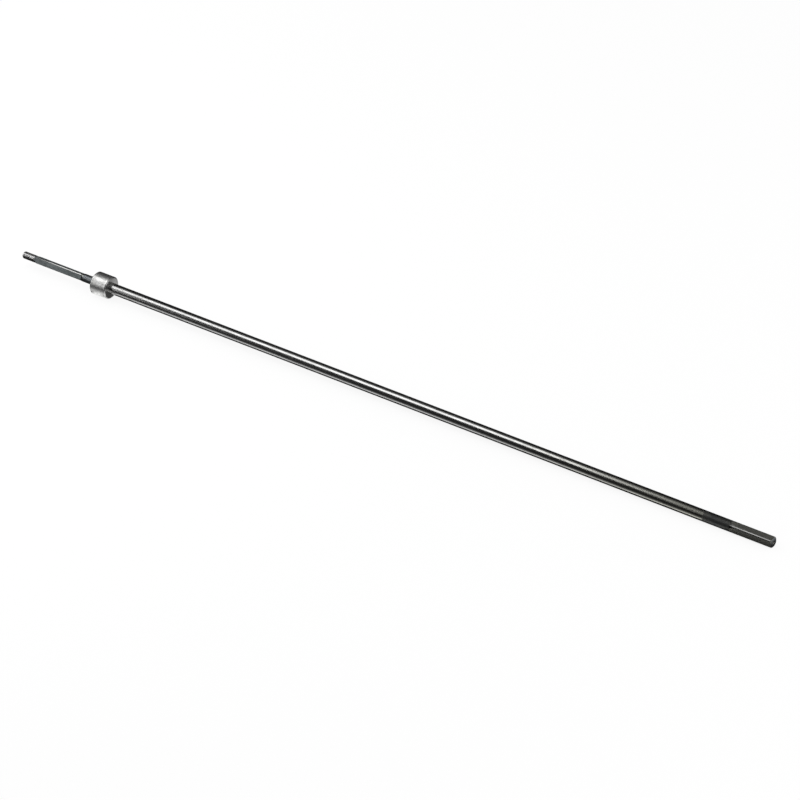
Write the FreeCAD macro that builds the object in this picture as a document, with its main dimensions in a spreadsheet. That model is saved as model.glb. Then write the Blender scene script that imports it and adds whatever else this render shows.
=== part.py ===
import FreeCAD, Part
import math
import os
import Sketcher

# Drive shaft: a long turned steel bar with a milled square drive at each end and a threaded tip,
# and a bright steel collar pressed on from the small end against the shoulder of the long shank.
# The axis lies along X and the origin is on it at that shoulder. The long shank points to +X.

doc = FreeCAD.newDocument("drive_shaft")

# Driving dimensions, in millimetres and degrees

SIZES = {
    "tip_dia": 8.0,
    "tip_len": 16.0,
    "tip_chamfer": 1.0,
    "relief_dia": 7.0,
    "lead_len": 4.0,
    "small_square": 7.0,
    "small_square_len": 64.0,
    "small_square_turn": 25.0,
    "small_cutter_dia": 10.0,
    "neck_dia": 9.0,
    "neck_len": 19.0,
    "seat_dia": 10.0,
    "seat_chamfer": 0.4,
    "collar_dia": 25.0,
    "collar_len": 21.0,
    "collar_chamfer": 1.2,
    "bore_chamfer": 0.6,
    "shank_dia": 12.0,
    "shank_len": 840.0,
    "large_square": 10.0,
    "large_square_len": 40.0,
    "large_cutter_dia": 100.0,
    "end_chamfer": 0.8,
    "centre_pilot_dia": 2.0,
    "centre_mouth_dia": 4.2,
    "centre_depth": 5.0,
    "cut_clear": 1.0,
}

sheet = doc.addObject("Spreadsheet::Sheet", "sizes")
for row, (alias, size) in enumerate(SIZES.items(), start=1):
    sheet.set("A%d" % row, alias)
    sheet.set("B%d" % row, str(size))
    sheet.setAlias("B%d" % row, alias)
doc.recompute()

# Stations along X, each counted from the shoulder at the origin

COLLAR_FAR = "-sizes.collar_len"
FLATS_END = "-(sizes.collar_len + sizes.neck_len)"
TIP_SHOULDER = "-(sizes.collar_len + sizes.neck_len + sizes.small_square_len)"
TIP_END = "-(sizes.collar_len + sizes.neck_len + sizes.small_square_len + sizes.tip_len)"
SHANK_END = "sizes.shank_len"
DRIVE_START = "sizes.shank_len - sizes.large_square_len"


# Sketching: every corner is held from the origin by two expressions

def origin_item(body, role):
    return next(item for item in body.Origin.OriginFeatures if item.Role == role)


def new_sketch(body, name, plane):
    sketch = body.newObject("Sketcher::SketchObject", name)
    sketch.AttachmentSupport = [(origin_item(body, plane), "")]
    sketch.MapMode = "FlatFace"
    return sketch


def hold(sketch, point, kind, axis, formula):
    """Hold a sketch point at a distance from the origin along one axis."""
    distance = float(sketch.evalExpression(formula))
    if abs(distance) < 1e-9:
        sketch.addConstraint(Sketcher.Constraint("PointOnObject", *point, axis))
        return
    if distance > 0:
        constraint = Sketcher.Constraint(kind, -1, 1, *point, distance)
    else:
        constraint = Sketcher.Constraint(kind, *point, -1, 1, -distance)
        formula = "-(%s)" % formula
    number = sketch.addConstraint(constraint)
    sketch.setExpression("Constraints[%d]" % number, formula)


def hold_corner(sketch, point, along, out):
    hold(sketch, point, "DistanceX", -2, along)
    hold(sketch, point, "DistanceY", -1, out)


def spot(sketch, along, out):
    x = float(sketch.evalExpression(along))
    y = float(sketch.evalExpression(out))
    return FreeCAD.Vector(x, y, 0)


def closed_outline(sketch, corners):
    """Straight edges through the corners, in order, back to the first one."""
    spots = [spot(sketch, along, out) for along, out in corners]
    count = len(corners)
    edges = []
    for number in range(count):
        edge = Part.LineSegment(spots[number], spots[(number + 1) % count])
        edges.append(sketch.addGeometry(edge, False))
    for number in range(count):
        following = edges[(number + 1) % count]
        sketch.addConstraint(Sketcher.Constraint("Coincident", edges[number], 2, following, 1))
    for edge, (along, out) in zip(edges, corners):
        hold_corner(sketch, (edge, 1), along, out)
    doc.recompute()


def turned(body, name, kind, corners):
    """A body of revolution, or a cut of revolution, about the X axis."""
    sketch = new_sketch(body, name + "_outline", "XY_Plane")
    closed_outline(sketch, corners)
    feature = body.newObject(kind, name)
    feature.Profile = sketch
    feature.ReferenceAxis = (sketch, ["H_Axis"])
    feature.Angle = 360
    doc.recompute()
    return feature


def must_cut(body, before, name, least=0.1):
    removed = before - body.Shape.Volume
    if removed < least:
        raise RuntimeError("%s removed only %.2f mm3" % (name, removed))
    return removed


# Shaft, the turned form: tip, thread relief, lead, neck, collar seat, shoulder and long shank

shaft = doc.addObject("PartDesign::Body", "shaft")
shaft.Label = "shaft"

turned(shaft, "bar", "PartDesign::Revolution", [
    (TIP_END, "0"),
    (TIP_END, "sizes.tip_dia / 2 - sizes.tip_chamfer"),
    (TIP_END + " + sizes.tip_chamfer", "sizes.tip_dia / 2"),
    (TIP_SHOULDER, "sizes.tip_dia / 2"),
    (TIP_SHOULDER, "sizes.relief_dia / 2"),
    (TIP_SHOULDER + " + sizes.lead_len", "sizes.neck_dia / 2"),
    (COLLAR_FAR, "sizes.neck_dia / 2"),
    (COLLAR_FAR, "sizes.seat_dia / 2 - sizes.seat_chamfer"),
    (COLLAR_FAR + " + sizes.seat_chamfer", "sizes.seat_dia / 2"),
    ("0", "sizes.seat_dia / 2"),
    ("0", "sizes.shank_dia / 2"),
    (SHANK_END + " - sizes.end_chamfer", "sizes.shank_dia / 2"),
    (SHANK_END, "sizes.shank_dia / 2 - sizes.end_chamfer"),
    (SHANK_END, "0"),
])


# Shaft, the lathe centres: a pilot hole with a 60 degree mouth in each end face

def lathe_centre(name, end, inward):
    """The cone is its radius difference times the square root of 3 long."""
    before = shaft.Shape.Volume
    cone = "(sizes.centre_mouth_dia - sizes.centre_pilot_dia) / 2 * sqrt(3)"
    point = "0.3 * sizes.centre_pilot_dia"
    turned(shaft, name, "PartDesign::Groove", [
        (end, "0"),
        (end, "sizes.centre_mouth_dia / 2"),
        ("%s %s %s" % (end, inward, cone), "sizes.centre_pilot_dia / 2"),
        ("%s %s sizes.centre_depth" % (end, inward), "sizes.centre_pilot_dia / 2"),
        ("%s %s (sizes.centre_depth + %s)" % (end, inward, point), "0"),
    ])
    must_cut(shaft, before, name)


lathe_centre("tip_centre", TIP_END, "+")
lathe_centre("drive_centre", SHANK_END, "-")


# Shaft, the square drives: one flat with the round run-out of its cutter, then four around the axis

def milled_square(name, across, full_end, open_end, cutter_dia, round_dia, turn):
    """The flat is at full depth from open_end to full_end, where the cutter's edge lifts out."""
    before = shaft.Shape.Volume
    sketch = new_sketch(shaft, name + "_side", "XZ_Plane")
    sketch.AttachmentOffset = FreeCAD.Placement(
        FreeCAD.Vector(), FreeCAD.Rotation(FreeCAD.Vector(1, 0, 0), 1.0))
    sketch.setExpression("AttachmentOffset.Rotation.Angle", turn)
    level = "%s / 2" % across
    top = "%s / 2 + sizes.cut_clear" % round_dia
    centre = "%s / 2 + %s / 2" % (across, cutter_dia)
    start = spot(sketch, full_end, level)
    middle = spot(sketch, full_end, centre)
    outer_low = spot(sketch, open_end, level)
    outer_high = spot(sketch, open_end, top)
    radius = middle.y - start.y
    swing = math.acos(1 - (outer_high.y - start.y) / radius)
    down = 1.5 * math.pi
    to_right = outer_low.x > start.x
    from_angle, to_angle = (down - swing, down) if to_right else (down, down + swing)
    reach = radius * math.sin(swing)
    lifted = FreeCAD.Vector(start.x - reach if to_right else start.x + reach, outer_high.y, 0)
    floor_edge = sketch.addGeometry(Part.LineSegment(start, outer_low), False)
    end_edge = sketch.addGeometry(Part.LineSegment(outer_low, outer_high), False)
    top_edge = sketch.addGeometry(Part.LineSegment(outer_high, lifted), False)
    circle = Part.Circle(middle, FreeCAD.Vector(0, 0, 1), radius)
    run_out = sketch.addGeometry(Part.ArcOfCircle(circle, from_angle, to_angle), False)
    low_end, high_end = (2, 1) if to_right else (1, 2)
    sketch.addConstraint([
        Sketcher.Constraint("Coincident", floor_edge, 2, end_edge, 1),
        Sketcher.Constraint("Coincident", end_edge, 2, top_edge, 1),
        Sketcher.Constraint("Coincident", top_edge, 2, run_out, high_end),
        Sketcher.Constraint("Coincident", run_out, low_end, floor_edge, 1),
        Sketcher.Constraint("Horizontal", top_edge),
    ])
    hold_corner(sketch, (floor_edge, 1), full_end, level)
    hold_corner(sketch, (end_edge, 1), open_end, level)
    hold_corner(sketch, (top_edge, 1), open_end, top)
    hold_corner(sketch, (run_out, 3), full_end, centre)
    flat = shaft.newObject("PartDesign::Pocket", name + "_flat")
    flat.Profile = sketch
    flat.Type = "ThroughAll"
    flat.SideType = "Symmetric"
    doc.recompute()
    one_flat = must_cut(shaft, before, name)
    around = shaft.newObject("PartDesign::PolarPattern", name)
    around.Originals = [flat]
    around.Axis = (origin_item(shaft, "X_Axis"), [""])
    around.Angle = 360
    around.Occurrences = 4
    shaft.Tip = around
    doc.recompute()
    must_cut(shaft, before, name, 3.9 * one_flat)


# A positive angle turns the cuts from +Z towards -Y; the small square is clocked the other way.
milled_square("small_drive", "sizes.small_square", FLATS_END, TIP_SHOULDER,
              "sizes.small_cutter_dia", "sizes.neck_dia", "-sizes.small_square_turn")
milled_square("large_drive", "sizes.large_square", DRIVE_START, SHANK_END + " + sizes.cut_clear",
              "sizes.large_cutter_dia", "sizes.shank_dia", "0")


# Collar: a plain ring bored to the seat, with chamfered rims and a lead at the mouth of the bore

collar = doc.addObject("PartDesign::Body", "collar")
collar.Label = "collar"

turned(collar, "ring", "PartDesign::Revolution", [
    (COLLAR_FAR, "sizes.seat_dia / 2 + sizes.bore_chamfer"),
    (COLLAR_FAR, "sizes.collar_dia / 2 - sizes.collar_chamfer"),
    (COLLAR_FAR + " + sizes.collar_chamfer", "sizes.collar_dia / 2"),
    ("-sizes.collar_chamfer", "sizes.collar_dia / 2"),
    ("0", "sizes.collar_dia / 2 - sizes.collar_chamfer"),
    ("0", "sizes.seat_dia / 2"),
    (COLLAR_FAR + " + sizes.bore_chamfer", "sizes.seat_dia / 2"),
])

# Both pieces are checked before anything is written

doc.recompute()
for item in doc.Objects:
    if "Invalid" in item.State or "Error" in item.State:
        raise RuntimeError("%s failed: %s" % (item.Name, item.State))

os.makedirs("parts", exist_ok=True)
for piece in (shaft, collar):
    shape = piece.Shape
    if shape.isNull() or not shape.isValid() or len(shape.Solids) != 1:
        raise RuntimeError("%s is not one valid solid" % piece.Label)
    shape.exportStep("parts/%s.step" % piece.Label)
    box = shape.BoundBox
    print("%s %.1f mm3, X %.2f to %.2f" % (piece.Label, shape.Volume, box.XMin, box.XMax))
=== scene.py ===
import math

import bpy
from mathutils import Matrix, Vector


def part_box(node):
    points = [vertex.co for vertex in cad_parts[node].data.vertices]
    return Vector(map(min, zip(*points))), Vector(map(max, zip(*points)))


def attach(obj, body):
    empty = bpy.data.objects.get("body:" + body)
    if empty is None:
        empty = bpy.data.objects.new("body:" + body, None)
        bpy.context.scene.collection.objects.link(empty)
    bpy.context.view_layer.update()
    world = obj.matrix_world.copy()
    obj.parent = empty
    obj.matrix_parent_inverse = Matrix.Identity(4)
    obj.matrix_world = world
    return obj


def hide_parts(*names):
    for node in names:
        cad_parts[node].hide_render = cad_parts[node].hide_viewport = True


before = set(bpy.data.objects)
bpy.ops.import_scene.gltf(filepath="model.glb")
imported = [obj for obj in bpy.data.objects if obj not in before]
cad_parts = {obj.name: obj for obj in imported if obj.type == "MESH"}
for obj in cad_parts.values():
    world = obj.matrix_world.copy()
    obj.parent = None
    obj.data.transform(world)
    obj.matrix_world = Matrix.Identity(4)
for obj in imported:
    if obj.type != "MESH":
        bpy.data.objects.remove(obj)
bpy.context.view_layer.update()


# Shaft, the turned bar. One length of round steel, turned between centres in a lathe: threaded
# tip, relief, lead, neck, collar seat, shoulder, long shank and a chamfered end, with a centre
# hole in each end face. The outline is drawn once and spun around the axis.

bar_low, bar_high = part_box("shaft")
ring_low, ring_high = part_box("collar")
TIP_END = bar_low.x
SHANK_END = bar_high.x
COLLAR_FAR = ring_low.x
SHANK_RADIUS = bar_high.y
TIP_LENGTH = 0.016
TIP_SHOULDER = TIP_END + TIP_LENGTH
TIP_RADIUS = 0.004
TIP_CHAMFER = 0.001
RELIEF_RADIUS = 0.0035
LEAD_LENGTH = 0.004
NECK_RADIUS = 0.0045
SMALL_MILLED_LENGTH = 0.0672
PLAIN_NECK_FROM = TIP_SHOULDER + SMALL_MILLED_LENGTH
SEAT_RADIUS = 0.005
SEAT_CHAMFER = 0.0004
END_CHAMFER = 0.0008
CENTRE_MOUTH = 0.0021
CENTRE_PILOT = 0.001
CENTRE_DEPTH = 0.005
DRILL_POINT = 0.6 * CENTRE_PILOT
BAR_SIDES = 96
SHANK_RINGS = 30
LARGE_MILLED_LENGTH = 0.050
PLAIN_SHANK_TO = SHANK_END - LARGE_MILLED_LENGTH
BROKEN_EDGE = 0.00012
CORNER_STEPS = 2
CORNER_ROOM = 0.45
SHARP_BEND = math.radians(5)
SPUN_FROM = 0.001
WELD = 1e-6


def deselect():
    if bpy.context.object and bpy.context.object.mode != "OBJECT":
        bpy.ops.object.mode_set(mode="OBJECT")
    bpy.ops.object.select_all(action="DESELECT")


def rounded(corner, before, after, radius):
    """Three points that take the sharpness off a turned corner."""
    corner, before, after = Vector(corner), Vector(before), Vector(after)
    start = corner + (before - corner).normalized() * radius
    end = corner + (after - corner).normalized() * radius
    steps = [step / CORNER_STEPS for step in range(CORNER_STEPS + 1)]
    return [tuple(start.lerp(corner, t).lerp(corner.lerp(end, t), t)) for t in steps]


def with_broken_edges(outline, radius):
    """Every corner of a lathe outline that bends by more than a little gets a small rounding."""
    done = [outline[0]]
    for before, corner, after in zip(outline, outline[1:], outline[2:]):
        arriving = Vector(corner) - Vector(before)
        leaving = Vector(after) - Vector(corner)
        room = min(arriving.length, leaving.length) * CORNER_ROOM
        if arriving.angle(leaving) < SHARP_BEND:
            done.append(corner)
        else:
            done += rounded(corner, before, after, min(radius, room))
    return done + [outline[-1]]


def spun(name, outline, sides):
    """An outline of (along the axis, out from it) points, turned once around the X axis."""
    deselect()
    along, out = outline[0]
    bpy.ops.mesh.primitive_plane_add(size=SPUN_FROM, location=(along, 0, out))
    piece = bpy.context.object
    piece.name = name
    bpy.ops.object.transform_apply(location=True, rotation=True, scale=True)
    bpy.ops.object.mode_set(mode="EDIT")
    bpy.ops.mesh.select_mode(type="VERT")
    bpy.ops.mesh.select_all(action="SELECT")
    bpy.ops.mesh.merge(type="CENTER")
    for (x, r), (next_x, next_r) in zip(outline, outline[1:]):
        bpy.ops.mesh.extrude_vertices_move(
            TRANSFORM_OT_translate={"value": (next_x - x, 0, next_r - r)})
    bpy.ops.mesh.select_all(action="SELECT")
    bpy.ops.mesh.spin(steps=sides, angle=math.tau, center=(0, 0, 0), axis=(1, 0, 0))
    bpy.ops.mesh.select_all(action="SELECT")
    bpy.ops.mesh.remove_doubles(threshold=WELD)
    bpy.ops.mesh.normals_make_consistent(inside=False)
    bpy.ops.object.mode_set(mode="OBJECT")
    return piece


def centre_hole(end, inward):
    """From the face inwards: the mouth's rim, the 60 degree cone, the pilot and its point."""
    cone = (CENTRE_MOUTH - CENTRE_PILOT) * math.sqrt(3)
    return [
        (end, CENTRE_MOUTH),
        (end + inward * cone, CENTRE_PILOT),
        (end + inward * CENTRE_DEPTH, CENTRE_PILOT),
        (end + inward * (CENTRE_DEPTH + DRILL_POINT), 0),
    ]


rings_at = [SHANK_END * step / SHANK_RINGS for step in range(1, SHANK_RINGS)]
shank_rings = [(along, SHANK_RADIUS) for along in sorted(rings_at + [PLAIN_SHANK_TO])]
bar_outline = centre_hole(TIP_END, 1)[::-1] + [
    (TIP_END, TIP_RADIUS - TIP_CHAMFER),
    (TIP_END + TIP_CHAMFER, TIP_RADIUS),
    (TIP_SHOULDER, TIP_RADIUS),
    (TIP_SHOULDER, RELIEF_RADIUS),
    (TIP_SHOULDER + LEAD_LENGTH, NECK_RADIUS),
    (PLAIN_NECK_FROM, NECK_RADIUS),
    (COLLAR_FAR, NECK_RADIUS),
    (COLLAR_FAR, SEAT_RADIUS - SEAT_CHAMFER),
    (COLLAR_FAR + SEAT_CHAMFER, SEAT_RADIUS),
    (0, SEAT_RADIUS),
    (0, SHANK_RADIUS),
] + shank_rings + [
    (SHANK_END - END_CHAMFER, SHANK_RADIUS),
    (SHANK_END, SHANK_RADIUS - END_CHAMFER),
] + centre_hole(SHANK_END, -1)
shaft = spun("shaft_bar", with_broken_edges(bar_outline, BROKEN_EDGE), BAR_SIDES)


# Shaft, the square drives. Four flats are milled on each end of the bar with a side cutter, whose
# own radius leaves a curved run-out. The corners of each square stay as narrow round lands of the
# turned bar. The small square is clocked against the large one.

SMALL_SQUARE = 0.007
SMALL_SQUARE_LENGTH = 0.064
SMALL_SQUARE_TURN = math.radians(25)
SMALL_CUTTER = 0.005
LARGE_SQUARE = 0.010
LARGE_SQUARE_LENGTH = 0.040
LARGE_CUTTER = 0.050
CUTTER_SIDES = 96
CUT_WIDTH = 1.3
CUT_HEIGHT = 1.2
CUT_PAST_END = 0.002
DRIVE_START = SHANK_END - LARGE_SQUARE_LENGTH


def milling_cut(name, across, full_end, open_end, radius):
    """A block above one flat, with the cutter's radius on the edge where the cut runs out."""
    outward = 1 if open_end > full_end else -1
    deep_end = full_end - outward * radius
    length = abs(open_end - deep_end)
    height = radius * CUT_HEIGHT
    deselect()
    bpy.ops.mesh.primitive_cube_add(
        size=1, location=((open_end + deep_end) / 2, 0, across / 2 + height / 2),
        scale=(length, across * CUT_WIDTH, height))
    block = bpy.context.object
    block.name = name
    bpy.ops.object.transform_apply(location=True, rotation=True, scale=True)
    for vertex in block.data.vertices:
        at_end = abs(vertex.co.x - deep_end) < WELD
        vertex.select = at_end and abs(vertex.co.z - across / 2) < WELD
    for edge in block.data.edges:
        edge.select = all(block.data.vertices[end].select for end in edge.vertices)
    for face in block.data.polygons:
        face.select = False
    bpy.ops.object.mode_set(mode="EDIT")
    bpy.ops.mesh.select_mode(type="EDGE")
    bpy.ops.mesh.bevel(offset=radius, segments=CUTTER_SIDES, affect="EDGES")
    bpy.ops.object.mode_set(mode="OBJECT")
    return block


def cut_away(piece, tool):
    deselect()
    bpy.context.view_layer.objects.active = piece
    piece.select_set(True)
    cut = piece.modifiers.new("cut", "BOOLEAN")
    cut.operation = "DIFFERENCE"
    cut.solver = "EXACT"
    cut.object = tool
    bpy.ops.object.modifier_apply(modifier=cut.name)


def mill_square(cutter, turn):
    for side in range(4):
        cutter.rotation_euler.x = turn + side * math.pi / 2
        bpy.context.view_layer.update()
        cut_away(shaft, cutter)
    bpy.data.objects.remove(cutter)


small_square_to = TIP_SHOULDER + SMALL_SQUARE_LENGTH
mill_square(milling_cut("small_cut", SMALL_SQUARE, small_square_to, TIP_SHOULDER, SMALL_CUTTER),
            -SMALL_SQUARE_TURN)
mill_square(milling_cut("large_cut", LARGE_SQUARE, DRIVE_START, SHANK_END + CUT_PAST_END,
                        LARGE_CUTTER), 0)


# Shaft, the thread on the tip. A right-hand metric thread, rolled between dies: a V groove that
# winds from the chamfer to the shoulder and leaves narrow flat crests.

PITCH = 0.00125
GROOVE_DEPTH = 0.00067
ROOT_WIDTH = 0.00018
FLANK_ANGLE = math.radians(30)
DIE_CLEARANCE = 0.00004
RUN_IN = 1.5 * PITCH
THREAD_STEPS = 64
SEAM_WELD = 2e-7
SMOOTH_BELOW = math.radians(8)

half_top = ROOT_WIDTH / 2 + (GROOVE_DEPTH + DIE_CLEARANCE) * math.tan(FLANK_ANGLE)
deselect()
bpy.ops.mesh.primitive_plane_add(size=1, location=(0, 0, 0), rotation=(math.pi / 2, 0, 0))
groove = bpy.context.object
groove.name = "thread_groove"
bpy.ops.object.transform_apply(location=True, rotation=True, scale=True)
for vertex in groove.data.vertices:
    top = vertex.co.z > 0
    side = 1 if vertex.co.x > 0 else -1
    vertex.co = (
        TIP_END - RUN_IN + side * (half_top if top else ROOT_WIDTH / 2), 0,
        TIP_RADIUS + DIE_CLEARANCE if top else TIP_RADIUS - GROOVE_DEPTH)
bpy.ops.object.mode_set(mode="EDIT")
bpy.ops.mesh.select_all(action="SELECT")
bpy.ops.mesh.delete(type="ONLY_FACE")
bpy.ops.object.mode_set(mode="OBJECT")
winding = groove.modifiers.new("winding", "SCREW")
winding.axis = "X"
winding.angle = math.tau
winding.screw_offset = PITCH
winding.iterations = int((TIP_LENGTH + RUN_IN) / PITCH) + 1
winding.steps = THREAD_STEPS
winding.render_steps = THREAD_STEPS
winding.use_merge_vertices = True
winding.merge_threshold = WELD
bpy.ops.object.modifier_apply(modifier=winding.name)
bpy.ops.object.mode_set(mode="EDIT")
bpy.ops.mesh.select_all(action="SELECT")
bpy.ops.mesh.fill_holes(sides=4)
bpy.ops.mesh.select_all(action="SELECT")
bpy.ops.mesh.normals_make_consistent(inside=False)
bpy.ops.object.mode_set(mode="OBJECT")
cut_away(shaft, groove)
bpy.data.objects.remove(groove)

deselect()
bpy.context.view_layer.objects.active = shaft
shaft.select_set(True)
bpy.ops.object.mode_set(mode="EDIT")
bpy.ops.mesh.select_all(action="SELECT")
bpy.ops.mesh.remove_doubles(threshold=SEAM_WELD)
bpy.ops.object.mode_set(mode="OBJECT")
bpy.ops.object.shade_smooth_by_angle(angle=SMOOTH_BELOW)


# Shaft, the finishes. It is all the same steel, seen after another tool in each zone: the ground
# shank, which the hardening coil has left dark and dull towards its end, the turned and blued
# small end, the bright rolled thread, the milled flats, and the lands, rubbed bright in use. Where
# the small flats run out into the neck, the run-out faces and the lands are painted dark: painted
# shade in that recess.

HARDENED_FROM = SHANK_END - 0.082
OLIVE_FROM = SHANK_END - 0.36
SHANK_STEEL = (0.55, 0.55, 0.545, 1)
OLIVE_STEEL = (0.50, 0.50, 0.445, 1)
HARDENED_SCALE_AND_SHADE = (0.168, 0.170, 0.158, 1)
HARDENED_BLUE = (0.122, 0.126, 0.130, 1)
SMALL_END_STEEL = (0.27, 0.29, 0.305, 1)
SMALL_FLAT_STEEL = (0.50, 0.55, 0.56, 1)
LARGE_FLAT_STEEL = (0.46, 0.46, 0.42, 1)
LAND_STEEL = (0.85, 0.85, 0.83, 1)
# painted shade: the run-out faces of the small flats get a colour darker than the steel's, for the
# shadow in their recess
RUN_OUT_SHADE_STEEL = (0.12, 0.13, 0.14, 1)
THREAD_STEEL = (0.76, 0.76, 0.76, 1)
DIRT = (0.05, 0.05, 0.045, 1)
SPECK = (0.04, 0.04, 0.035, 1)


def node(tree, kind, inputs=None, **settings):
    made = tree.nodes.new(kind)
    for name, value in settings.items():
        setattr(made, name, value)
    for name, value in (inputs or {}).items():
        if isinstance(value, bpy.types.NodeSocket):
            tree.links.new(value, made.inputs[name])
        else:
            made.inputs[name].default_value = value
    return made


def math_node(tree, operation, first, second=0.0, third=0.0):
    made = tree.nodes.new("ShaderNodeMath")
    made.operation = operation
    for socket, value in zip(made.inputs, (first, second, third)):
        if isinstance(value, bpy.types.NodeSocket):
            tree.links.new(value, socket)
        else:
            socket.default_value = value
    return made.outputs[0]


def ramp_node(tree, value, low, high, out_low=0.0, out_high=1.0):
    return node(tree, "ShaderNodeMapRange", {
        "Value": value, "From Min": low, "From Max": high,
        "To Min": out_low, "To Max": out_high}).outputs["Result"]


def mix_node(tree, share, first, second, blend="MIX"):
    made = node(tree, "ShaderNodeMix", data_type="RGBA", blend_type=blend)
    for socket, value in ((made.inputs["Factor"], share), (made.inputs["A"], first),
                          (made.inputs["B"], second)):
        if isinstance(value, bpy.types.NodeSocket):
            tree.links.new(value, socket)
        else:
            socket.default_value = value
    return made.outputs["Result"]


def new_group(name, inputs, outputs):
    group = bpy.data.node_groups.new(name, "ShaderNodeTree")
    for socket, kind, value in inputs:
        made = group.interface.new_socket(socket, in_out="INPUT", socket_type=kind)
        if value is not None:
            made.default_value = value
    for socket, kind in outputs:
        group.interface.new_socket(socket, in_out="OUTPUT", socket_type=kind)
    return group, group.nodes.new("NodeGroupInput"), group.nodes.new("NodeGroupOutput")


def squared_radius(tree, split):
    square_y = math_node(tree, "MULTIPLY", split.outputs["Y"], split.outputs["Y"])
    return math_node(tree, "MULTIPLY_ADD", split.outputs["Z"], split.outputs["Z"], square_y)


# Lines that a tool or a grinding wheel leaves around the axis: on a round they follow its length,
# on a face its radius. They waver a little on their way round.
FACE_STRETCH = 1.37
WAVER_SCALE = 250.0

turning, turning_in, turning_out = new_group(
    "turning_lines",
    [("Vector", "NodeSocketVector", None), ("Lines per metre", "NodeSocketFloat", 4000.0),
     ("Waver", "NodeSocketFloat", 0.3)],
    [("Lines", "NodeSocketFloat")])
split = node(turning, "ShaderNodeSeparateXYZ", {"Vector": turning_in.outputs["Vector"]})
radius_out = math_node(turning, "SQRT", squared_radius(turning, split))
travel = math_node(turning, "MULTIPLY_ADD", radius_out, FACE_STRETCH, split.outputs["X"])
around_y = math_node(turning, "MULTIPLY", split.outputs["Y"], WAVER_SCALE)
around_z = math_node(turning, "MULTIPLY", split.outputs["Z"], WAVER_SCALE)
lines_at = node(turning, "ShaderNodeCombineXYZ", {
    "X": math_node(turning, "MULTIPLY", travel, turning_in.outputs["Lines per metre"]),
    "Y": math_node(turning, "MULTIPLY", around_y, turning_in.outputs["Waver"]),
    "Z": math_node(turning, "MULTIPLY", around_z, turning_in.outputs["Waver"])})
lines = node(turning, "ShaderNodeTexNoise",
             {"Vector": lines_at.outputs[0], "Scale": 1.0, "Detail": 3.0, "Roughness": 0.65})
turning.links.new(lines.outputs["Fac"], turning_out.inputs["Lines"])

# Arcs that the cutter leaves on a flat as it is fed along the shaft.
ARC_SWELL = 0.22

milling, milling_in, milling_out = new_group(
    "milling_arcs",
    [("Vector", "NodeSocketVector", None), ("Feed", "NodeSocketFloat", 0.0008),
     ("Cutter radius", "NodeSocketFloat", 0.010)],
    [("Arcs", "NodeSocketFloat")])
split = node(milling, "ShaderNodeSeparateXYZ", {"Vector": milling_in.outputs["Vector"]})
bow = math_node(milling, "DIVIDE", squared_radius(milling, split),
                math_node(milling, "MULTIPLY", milling_in.outputs["Cutter radius"], 2.0))
fed = math_node(milling, "SUBTRACT", split.outputs["X"], bow)
steps = math_node(milling, "DIVIDE", fed, milling_in.outputs["Feed"])
arcs_at = node(milling, "ShaderNodeCombineXYZ", {"X": steps, "Y": 0.0, "Z": 0.0})
uneven = node(milling, "ShaderNodeTexNoise",
              {"Vector": arcs_at.outputs[0], "Scale": 1.7, "Detail": 2.0})
swell = math_node(milling, "SINE", math_node(milling, "MULTIPLY", steps, math.tau))
milling.links.new(math_node(milling, "MULTIPLY_ADD", swell, ARC_SWELL, uneven.outputs["Fac"]),
                  milling_out.inputs["Arcs"])

# The thin film of oil, finger marks and dust that bare steel picks up, in soft patches and specks.
PATCH_EDGES = (0.38, 0.66)
SPECK_EDGES = (0.56, 0.74)

film, film_in, film_out = new_group(
    "handling_film",
    [("Vector", "NodeSocketVector", None), ("Patch size", "NodeSocketFloat", 0.012),
     ("Speck size", "NodeSocketFloat", 0.0006)],
    [("Patches", "NodeSocketFloat"), ("Specks", "NodeSocketFloat")])
patch_scale = math_node(film, "DIVIDE", 1.0, film_in.outputs["Patch size"])
patches = node(film, "ShaderNodeTexNoise", {
    "Vector": film_in.outputs["Vector"], "Scale": patch_scale, "Detail": 5.0, "Distortion": 0.6})
film.links.new(ramp_node(film, patches.outputs["Fac"], *PATCH_EDGES), film_out.inputs["Patches"])
speck_scale = math_node(film, "DIVIDE", 1.0, film_in.outputs["Speck size"])
specks = node(film, "ShaderNodeTexNoise", {
    "Vector": film_in.outputs["Vector"], "Scale": speck_scale, "Detail": 2.0})
film.links.new(ramp_node(film, specks.outputs["Fac"], *SPECK_EDGES), film_out.inputs["Specks"])

MARK_RANGE = (0.3, 0.7)
MARK_SHADE = (0.90, 1.08)
FILM_DULLING = 0.05


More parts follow.
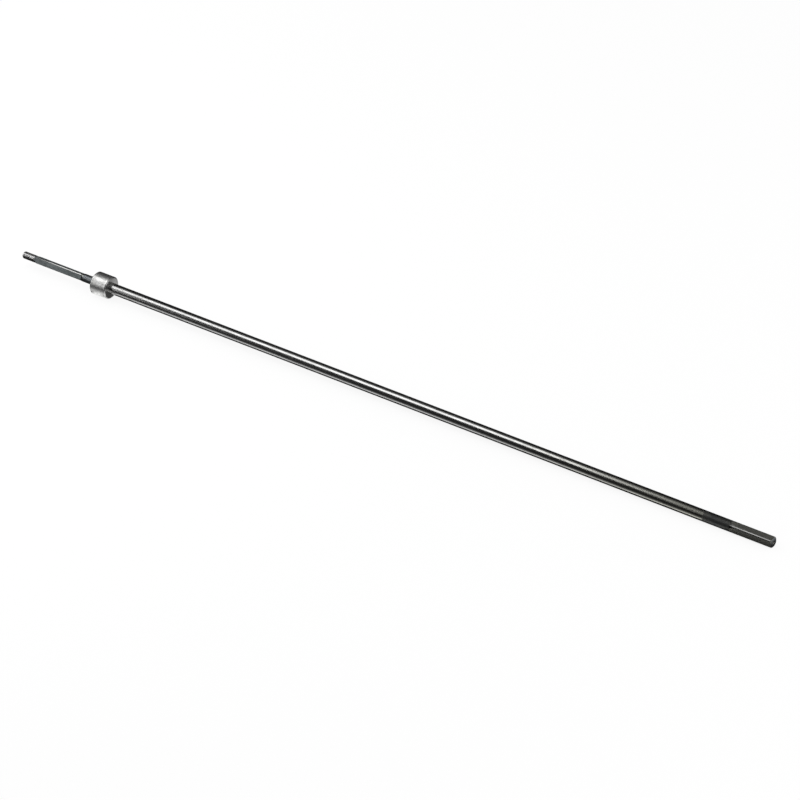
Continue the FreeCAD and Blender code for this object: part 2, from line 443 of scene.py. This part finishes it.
def bare_steel(name, colour, rough, marks, height, film_size=0.012, speck_size=0.0006,
               film_share=0.16, speck_share=0.25):
    """Steel with its tool marks and film. rough is a pair: at the foot and on top of a mark."""
    material = bpy.data.materials.new(name)
    material.use_nodes = True
    tree = material.node_tree
    tree.nodes.clear()
    place = node(tree, "ShaderNodeTexCoord").outputs["Object"]
    group, output, values = marks
    tool = node(tree, "ShaderNodeGroup", node_tree=group)
    tree.links.new(place, tool.inputs["Vector"])
    for socket, value in values.items():
        tool.inputs[socket].default_value = value
    cover = node(tree, "ShaderNodeGroup", node_tree=film)
    tree.links.new(place, cover.inputs["Vector"])
    cover.inputs["Patch size"].default_value = film_size
    cover.inputs["Speck size"].default_value = speck_size
    dull = mix_node(tree, math_node(tree, "MULTIPLY", cover.outputs["Patches"], film_share),
                    colour, DIRT)
    specked = mix_node(tree, math_node(tree, "MULTIPLY", cover.outputs["Specks"], speck_share),
                       dull, SPECK)
    lined = ramp_node(tree, tool.outputs[output], *MARK_RANGE, *MARK_SHADE)
    shade = mix_node(tree, 1.0, specked, lined, "MULTIPLY")
    roughness = math_node(
        tree, "MULTIPLY_ADD", cover.outputs["Patches"], FILM_DULLING,
        ramp_node(tree, tool.outputs[output], *MARK_RANGE, *rough))
    raised = node(tree, "ShaderNodeBump", {
        "Height": tool.outputs[output], "Strength": 1.0, "Distance": height})
    surface = node(tree, "ShaderNodeBsdfPrincipled", {
        "Base Color": shade, "Metallic": 1.0, "Roughness": roughness,
        "Normal": raised.outputs["Normal"]})
    end = node(tree, "ShaderNodeOutputMaterial")
    tree.links.new(surface.outputs[0], end.inputs["Surface"])
    return material


GROUND = (turning, "Lines", {"Lines per metre": 6000.0, "Waver": 0.5})
TURNED = (turning, "Lines", {"Lines per metre": 3000.0, "Waver": 0.2})
SMALL_MILLED = (milling, "Arcs", {"Feed": 0.0007, "Cutter radius": SMALL_CUTTER})
LARGE_MILLED = (milling, "Arcs", {"Feed": 0.0010, "Cutter radius": LARGE_CUTTER})

shank_finish = bare_steel("ground_shank", SHANK_STEEL, (0.16, 0.22), GROUND, 4e-7)
small_end_finish = bare_steel("turned_small_end", SMALL_END_STEEL, (0.30, 0.40), TURNED, 1.5e-6)
thread_finish = bare_steel("rolled_thread", THREAD_STEEL, (0.16, 0.22), TURNED, 1e-6)
small_flat_finish = bare_steel(
    "milled_small_flats", SMALL_FLAT_STEEL, (0.48, 0.60), SMALL_MILLED, 3e-6,
    film_size=0.005, film_share=0.34)
large_flat_finish = bare_steel(
    "milled_large_flats", LARGE_FLAT_STEEL, (0.50, 0.62), LARGE_MILLED, 3e-6,
    film_size=0.005, film_share=0.24)
run_out_shade_finish = bare_steel(
    "milled_run_outs_painted_shade", RUN_OUT_SHADE_STEEL, (0.44, 0.54), SMALL_MILLED, 2e-6)
land_finish = bare_steel("rubbed_lands", LAND_STEEL, (0.07, 0.12), GROUND, 4e-7)


def opened(material):
    """The node tree of a finish with its surface and its Object coordinates, to add to."""
    tree = material.node_tree
    surface = next(made for made in tree.nodes if made.type == "BSDF_PRINCIPLED")
    place = next(made for made in tree.nodes if made.type == "TEX_COORD").outputs["Object"]
    return tree, surface, place


# The shank's own colour turns olive on its way to the coil, and goes dark behind an uneven edge.
HARD_EDGE_WANDER = 0.003
HARD_EDGE = (HARDENED_FROM + 0.0010, HARDENED_FROM + 0.0022)
CLOUD_EDGES = (0.38, 0.62)
GRAIN_SHADE = (0.75, 1.3)
HARD_ROUGH = (0.46, 0.58)

tree, surface, place = opened(shank_finish)
bright = surface.inputs["Base Color"].links[0].from_socket
bright_rough = surface.inputs["Roughness"].links[0].from_socket
along = node(tree, "ShaderNodeSeparateXYZ", {"Vector": place}).outputs["X"]
olive = mix_node(tree, 1.0, bright, tuple(
    green / steel for green, steel in zip(OLIVE_STEEL, SHANK_STEEL)), "MULTIPLY")
warmed = mix_node(tree, ramp_node(tree, along, OLIVE_FROM, HARDENED_FROM), bright, olive)
ragged = node(tree, "ShaderNodeTexNoise", {"Vector": place, "Scale": 260.0, "Detail": 3.0})
edge_at = math_node(tree, "MULTIPLY_ADD", ragged.outputs["Fac"], HARD_EDGE_WANDER, along)
hard = ramp_node(tree, edge_at, *HARD_EDGE)
cloud = node(tree, "ShaderNodeTexNoise", {"Vector": place, "Scale": 90.0, "Detail": 4.0})
scale_colour = mix_node(tree, ramp_node(tree, cloud.outputs["Fac"], *CLOUD_EDGES),
                        HARDENED_SCALE_AND_SHADE, HARDENED_BLUE)
grain = node(tree, "ShaderNodeTexNoise", {"Vector": place, "Scale": 1400.0, "Detail": 3.0})
scale_shade = mix_node(tree, 1.0, scale_colour,
                       ramp_node(tree, grain.outputs["Fac"], *MARK_RANGE, *GRAIN_SHADE),
                       "MULTIPLY")
tree.links.new(mix_node(tree, hard, warmed, scale_shade), surface.inputs["Base Color"])
hard_rough = ramp_node(tree, grain.outputs["Fac"], *MARK_RANGE, *HARD_ROUGH)
rough_mix = node(tree, "ShaderNodeMix", {"Factor": hard}, data_type="FLOAT")
tree.links.new(bright_rough, rough_mix.inputs["A"])
tree.links.new(hard_rough, rough_mix.inputs["B"])
tree.links.new(rough_mix.outputs["Result"], surface.inputs["Roughness"])

# The lands are rubbed bright along each square. Along the large square they keep the dark scale of
# the hardened end where it runs out; past the small square they take the same dark colour as a
# painted shade, where the flats run out into the neck.
RUB_EDGE_WANDER = 0.006
RUB_EDGE = (PLAIN_SHANK_TO + 0.0035, PLAIN_SHANK_TO + 0.0075)

tree, surface, place = opened(land_finish)
rubbed = surface.inputs["Base Color"].links[0].from_socket
along = node(tree, "ShaderNodeSeparateXYZ", {"Vector": place}).outputs["X"]
patchy = node(tree, "ShaderNodeTexNoise", {"Vector": place, "Scale": 500.0, "Detail": 3.0})
edge_at = math_node(tree, "MULTIPLY_ADD", patchy.outputs["Fac"], RUB_EDGE_WANDER, along)
on_square = ramp_node(tree, edge_at, *RUB_EDGE)
# painted shade: past the small square the lands take the dark hardened colour, for the shadow
# where the flats run out
small_land_before_shade = math_node(tree, "LESS_THAN", along, small_square_to)
share = math_node(tree, "MAXIMUM", on_square, small_land_before_shade)
tree.links.new(mix_node(tree, share, HARDENED_SCALE_AND_SHADE, rubbed), surface.inputs["Base Color"])

SHANK, SMALL_END, THREAD, SMALL_FLAT, RUN_OUT, LARGE_FLAT, LAND = range(7)
FACING_END = 0.9
ALONG_THE_BAR = 0.02
STILL_FLAT = 0.05
TOUCH = 0.00002
STEP_TOUCH = 0.0001

for finish in (shank_finish, small_end_finish, thread_finish, small_flat_finish,
               run_out_shade_finish, large_flat_finish, land_finish):
    shaft.data.materials.append(finish)


def finish_of(face):
    """Which tool touched this face last."""
    along = face.center.x
    out = math.hypot(face.center.y, face.center.z)
    facing_end = abs(face.normal.x) > FACING_END
    if along < TIP_SHOULDER or (facing_end and along < TIP_SHOULDER + STEP_TOUCH):
        return THREAD
    if along < TIP_SHOULDER + LEAD_LENGTH:
        level = face.normal.y * face.center.y + face.normal.z * face.center.z
        flat = abs(face.normal.x) < ALONG_THE_BAR and abs(level - SMALL_SQUARE / 2) < TOUCH
        return SMALL_FLAT if flat else SMALL_END
    if along < PLAIN_NECK_FROM:
        if out > NECK_RADIUS - TOUCH:
            return LAND
        # the run-out faces get the dark run-out colour, a painted shade
        return SMALL_FLAT if abs(face.normal.x) < STILL_FLAT else RUN_OUT
    if along < 0:
        return SMALL_END
    if along < PLAIN_SHANK_TO:
        return SHANK
    if facing_end:
        return SMALL_END
    if out < SHANK_RADIUS - TOUCH:
        return LARGE_FLAT
    return LAND


for face in shaft.data.polygons:
    face.material_index = finish_of(face)
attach(shaft, "root")
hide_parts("shaft")


# Collar. A bright ring of bearing steel, turned all over and pressed on from the small end until
# it meets the shoulder of the shank. Both rims are chamfered and the bore has a lead at its mouth.

COLLAR_RADIUS = ring_high.y
COLLAR_CHAMFER = 0.0012
BORE_CHAMFER = 0.0006
COLLAR_SIDES = 144
COLLAR_STEEL = (0.92, 0.92, 0.91, 1)
FACED_STEEL = (0.78, 0.78, 0.77, 1)
COLLAR_TURNED = (turning, "Lines", {"Lines per metre": 2400.0, "Waver": 0.25})

collar_outline = [
    (COLLAR_FAR + BORE_CHAMFER, SEAT_RADIUS),
    (COLLAR_FAR, SEAT_RADIUS + BORE_CHAMFER),
    (COLLAR_FAR, COLLAR_RADIUS - COLLAR_CHAMFER),
    (COLLAR_FAR + COLLAR_CHAMFER, COLLAR_RADIUS),
    (COLLAR_FAR / 2, COLLAR_RADIUS),
    (-COLLAR_CHAMFER, COLLAR_RADIUS),
    (0, COLLAR_RADIUS - COLLAR_CHAMFER),
    (0, SEAT_RADIUS),
    (COLLAR_FAR + BORE_CHAMFER, SEAT_RADIUS),
]
collar = spun("collar_ring", with_broken_edges(collar_outline, BROKEN_EDGE), COLLAR_SIDES)
bpy.ops.object.shade_smooth_by_angle(angle=SMOOTH_BELOW)
collar.data.materials.append(bare_steel(
    "turned_collar", COLLAR_STEEL, (0.33, 0.41), COLLAR_TURNED, 1.5e-6, film_size=0.004,
    speck_size=0.0016, film_share=0.20, speck_share=0.40))
collar.data.materials.append(bare_steel(
    "faced_collar", FACED_STEEL, (0.28, 0.38), COLLAR_TURNED, 1e-6, film_share=0.10))
for face in collar.data.polygons:
    face.material_index = 1 if abs(face.normal.x) > FACING_END else 0
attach(collar, "root")
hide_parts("collar")


# Floor. A plain white sheet under the shaft, which lies on the collar's rim and on the far stretch
# of its shank, so the sheet leans by less than half a degree against the axis. Past the large end
# it runs on level, so that it never rises in front of the shaft.

LARGE_FLAT_DEPTH = SHANK_RADIUS - LARGE_SQUARE / 2
REST_END = DRIVE_START - math.sqrt(LARGE_CUTTER ** 2 - (LARGE_CUTTER - LARGE_FLAT_DEPTH) ** 2)
LEAN = math.atan2(COLLAR_RADIUS - SHANK_RADIUS, REST_END + COLLAR_CHAMFER)
FLOOR_SIZE = 30
FOLD_AT = SHANK_END + 0.050
FLOOR_WHITE = (0.90, 0.90, 0.90, 1)
SHADOW_SHARE = 0.12

deselect()
bpy.ops.mesh.primitive_plane_add(size=FLOOR_SIZE, location=(0, 0, 0), rotation=(0, -LEAN, 0))
floor = bpy.context.object
floor.name = "floor_sheet"
floor.location = (-COLLAR_CHAMFER, 0, -COLLAR_RADIUS)
bpy.ops.object.transform_apply(location=True, rotation=True, scale=True)
bpy.ops.object.mode_set(mode="EDIT")
bpy.ops.mesh.select_all(action="SELECT")
bpy.ops.mesh.bisect(plane_co=(FOLD_AT, 0, 0), plane_no=(1, 0, 0))
bpy.ops.object.mode_set(mode="OBJECT")
for corner in floor.data.vertices:
    if corner.co.x > FOLD_AT:
        corner.co.z = (FOLD_AT + COLLAR_CHAMFER) * math.tan(LEAN) - COLLAR_RADIUS


def seen_directly(tree):
    """1 for rays from the camera, from metal and through glass, 0 for the light on surfaces."""
    path = node(tree, "ShaderNodeLightPath")
    seen = math_node(tree, "MAXIMUM", path.outputs["Is Camera Ray"], path.outputs["Is Glossy Ray"])
    return math_node(tree, "MAXIMUM", seen, path.outputs["Is Transmission Ray"])


paper = bpy.data.materials.new("white_paper")
paper.use_nodes = True
tree = paper.node_tree
tree.nodes.clear()
lit = node(tree, "ShaderNodeBsdfDiffuse", {"Color": FLOOR_WHITE})
white = node(tree, "ShaderNodeEmission", {"Color": (1, 1, 1, 1), "Strength": 1.0})
share = math_node(tree, "MULTIPLY", seen_directly(tree), 1 - SHADOW_SHARE)
blend = node(tree, "ShaderNodeMixShader", {"Fac": share})
tree.links.new(lit.outputs[0], blend.inputs[1])
tree.links.new(white.outputs[0], blend.inputs[2])
end = node(tree, "ShaderNodeOutputMaterial")
tree.links.new(blend.outputs[0], end.inputs["Surface"])
floor.data.materials.append(paper)


# Light. A long soft box hangs over the shaft, with small ones by the collar and both ends, and
# wide ones far out that light the metal's other sides. A dark tent and sheets on the floor glow
# dimly and show only in the metal's reflections, where they make its dark bands. The strips among
# them, under and beside the shaft, are painted shadow of the shaft and collar on the floor.

LAMP_HEIGHT = 1.0
# each box: its ends along the shaft, the angles above the front that it spans, and its strength
SOFT_BOXES = (
    ("soft_box_top", (-0.605, 0.10), (62, 99), 2.05),
    ("soft_box_collar", (-0.735, -0.630), (51, 87), 3.4),
    ("soft_box_small_end", (-0.80, -0.67), (82, 105), 1.15),
    ("soft_box_front", (-1.02, -0.80), (14, 46), 5.0),
    ("soft_box_right", (0.10, 0.30), (60, 100), 0.28),
    ("soft_box_back", (-0.50, 0.27), (100, 126), 0.14),
    ("soft_box_end", (0.27, 0.42), (42, 57), 0.60),
    ("soft_box_far_left", (-2.60, -1.25), (56, 138), 0.7),
    ("soft_box_far_left_back", (-2.60, -1.25), (138, 178), 0.35),
    ("soft_box_far_right", (1.00, 2.70), (56, 138), 0.7),
    ("soft_box_far_right_back", (1.40, 2.70), (138, 178), 0.30),
    ("soft_box_near_right_back", (0.62, 1.40), (152, 178), 0.30),
)

for name, (left, right), (low, high), radiance in SOFT_BOXES:
    middle = math.radians((high + low) / 2)
    lamp = bpy.data.lights.new(name, "AREA")
    lamp.shape = "RECTANGLE"
    lamp.size = right - left
    lamp.size_y = 2 * LAMP_HEIGHT * math.tan(math.radians((high - low) / 2))
    lamp.energy = radiance * math.pi * lamp.size * lamp.size_y
    hung = bpy.data.objects.new(name, lamp)
    hung.location = (
        (left + right) / 2, -LAMP_HEIGHT * math.cos(middle), LAMP_HEIGHT * math.sin(middle))
    hung.rotation_euler.x = math.pi / 2 - middle
    hung.visible_camera = False
    bpy.context.scene.collection.objects.link(hung)

CARD_GAP = 0.0001
TENT_REACH = 3.0
TENT_FRONT = -1.3
TENT_BACK = 1.3
TENT_TOP = 1.3
TENT_BELOW = 0.05
# each sheet: its tone, and at each end along the shaft where it starts and stops across it
REFLECTED_FLOOR_SHEETS = (
    ("front_card", "fading", (-TENT_REACH, TENT_FRONT, -0.033), (-0.0185, TENT_FRONT, -0.033)),
    ("front_card_far", "fading",
     (-0.0185, TENT_FRONT, -0.0260), (SHANK_END, TENT_FRONT, -0.0152)),
    ("front_card_end", "fading",
     (SHANK_END, TENT_FRONT, -0.0152), (TENT_REACH, TENT_FRONT, -0.0152)),
    ("back_card", "black", (-TENT_REACH, 0.050, TENT_BACK), (TENT_REACH, 0.050, TENT_BACK)),
    # the strips from here on are painted shadow of the shaft and collar on the floor, seen only in
    # reflections
    ("painted_shadow_small_end", "black", (-0.150, -0.033, 0.050), (-0.038, -0.033, 0.050)),
    ("painted_shadow_neck", "black", (-0.038, -0.020, 0.050), (-0.0225, -0.016, 0.050)),
    ("painted_shadow_collar_front", "pale", (-0.038, -0.033, -0.020), (-0.0185, -0.033, -0.016)),
    ("painted_shadow_shoulder_front", "black", (-0.0085, -0.0258, -0.013), (-0.002, -0.0258, -0.013)),
    ("painted_shadow_collar", "grey", (-0.0225, -0.007, 0.050), (0.001, -0.007, 0.050)),
    ("painted_shadow_shoulder", "dark", (0.001, -0.0135, 0.010), (0.024, -0.0145, 0.020)),
    ("painted_shadow_face", "grey", (0.001, 0.010, 0.050), (0.024, 0.020, 0.050)),
    ("painted_shadow_shank", "black", (0.024, -0.0130, 0.050), (0.784, -0.0103, 0.050)),
    ("painted_shadow_large_end", "black", (0.784, -0.0152, 0.050), (0.848, -0.0152, 0.050)),
)
FADE_FROM = 0.033
FADE_TONE = 0.14
FADE_POWER = 1.3
CARD_TONES = {"black": 0.018, "dark": 0.05, "grey": 0.50, "pale": 0.62}


# A sheet that glows at its tone and shows only in reflections: dark surroundings for the tent and
# the front and back sheets, painted shadow on the floor for the strips.
def reflected_glow_material(name, tone):
    material = bpy.data.materials.new(name)
    material.use_nodes = True
    tree = material.node_tree
    tree.nodes.clear()
    if tone == "fading":
        place = node(tree, "ShaderNodeTexCoord").outputs["Object"]
        away = node(tree, "ShaderNodeSeparateXYZ", {"Vector": place}).outputs["Y"]
        near = math_node(tree, "DIVIDE", -FADE_FROM, away)
        strength = math_node(tree, "MULTIPLY_ADD", math_node(tree, "POWER", near, FADE_POWER),
                             FADE_TONE, CARD_TONES["black"])
    else:
        strength = CARD_TONES[tone]
    glow = node(tree, "ShaderNodeEmission", {"Color": (1, 1, 1, 1), "Strength": strength})
    end = node(tree, "ShaderNodeOutputMaterial")
    tree.links.new(glow.outputs[0], end.inputs["Surface"])
    return material


reflected_glows = {tone: reflected_glow_material(tone + "_card", tone) for tone in (*CARD_TONES, "fading")}


def only_in_reflections(card, tone):
    card.data.materials.append(reflected_glows[tone])
    card.visible_camera = False
    card.visible_diffuse = False
    card.visible_shadow = False
    card.visible_transmission = False


deselect()
bpy.ops.mesh.primitive_cube_add(
    size=1, location=(0, (TENT_FRONT + TENT_BACK) / 2, TENT_TOP / 2),
    scale=(2 * TENT_REACH, TENT_BACK - TENT_FRONT, TENT_TOP + TENT_BELOW))
tent = bpy.context.object
tent.name = "black_tent"
bpy.ops.object.transform_apply(location=True, rotation=True, scale=True)
bpy.ops.object.mode_set(mode="EDIT")
bpy.ops.mesh.select_mode(type="FACE")
bpy.ops.mesh.select_all(action="DESELECT")
bpy.ops.object.mode_set(mode="OBJECT")
for face in tent.data.polygons:
    face.select = face.normal.z < -FACING_END
bpy.ops.object.mode_set(mode="EDIT")
bpy.ops.mesh.delete(type="FACE")
bpy.ops.object.mode_set(mode="OBJECT")
only_in_reflections(tent, "black")

for name, tone, (left, left_front, left_rear), (right, right_front, right_rear) in REFLECTED_FLOOR_SHEETS:
    deselect()
    bpy.ops.mesh.primitive_plane_add(size=1, location=(0, 0, 0))
    card = bpy.context.object
    card.name = name
    for corner in card.data.vertices:
        at_left, at_front = corner.co.x < 0, corner.co.y < 0
        across = (left_front, left_rear) if at_left else (right_front, right_rear)
        corner.co = (left if at_left else right, across[0 if at_front else 1], CARD_GAP)
    card.rotation_euler.y = -LEAN
    card.location = (0, 0, -COLLAR_RADIUS + COLLAR_CHAMFER * math.tan(LEAN))
    bpy.ops.object.transform_apply(location=True, rotation=True, scale=True)
    only_in_reflections(card, tone)

WORLD_LIGHT = 0.8
WORLD_SEEN = 1.0

world = bpy.data.worlds.new("studio")
bpy.context.scene.world = world
world.use_nodes = True
tree = world.node_tree
tree.nodes.clear()
around = node(tree, "ShaderNodeBackground", {"Color": (1, 1, 1, 1)})
strength = ramp_node(tree, seen_directly(tree), 0.0, 1.0, WORLD_LIGHT, WORLD_SEEN)
tree.links.new(strength, around.inputs["Strength"])
end = node(tree, "ShaderNodeOutputWorld")
tree.links.new(around.outputs[0], end.inputs["Surface"])


# Camera. A long lens about six metres away, over the front of the large end, looking down on the
# shaft so that it runs from the upper left to the lower right of the picture.

IMAGE_SIDE = 800
FOCAL_PIXELS = 5830.65
SENSOR = 36.0
EYE_ALONG = 3.3636
EYE_OUT = 5.2730
EYE_HEIGHT_ANGLE = math.radians(43)
AIM_ALONG = 0.3805
AIM_BELOW = 0.0010
ROLL = math.radians(-3.648)

above = Vector((0, math.sin(EYE_HEIGHT_ANGLE), math.cos(EYE_HEIGHT_ANGLE)))
eye = Vector((EYE_ALONG, -EYE_OUT * math.cos(EYE_HEIGHT_ANGLE),
              EYE_OUT * math.sin(EYE_HEIGHT_ANGLE)))
aim = Vector((AIM_ALONG, 0, 0)) - AIM_BELOW * above
back = (eye - aim).normalized()
level = Vector((0, 0, 1)).cross(back).normalized()
right = math.cos(ROLL) * level + math.sin(ROLL) * back.cross(level)
up = back.cross(right)
lens = bpy.data.cameras.new("camera")
lens.sensor_width = SENSOR
lens.lens = FOCAL_PIXELS / IMAGE_SIDE * SENSOR
lens.clip_end = 100
camera = bpy.data.objects.new("camera", lens)
camera.matrix_world = Matrix.Translation(eye) @ Matrix((right, up, back)).transposed().to_4x4()
bpy.context.scene.collection.objects.link(camera)
bpy.context.scene.camera = camera
bpy.context.scene.view_settings.view_transform = "Standard"
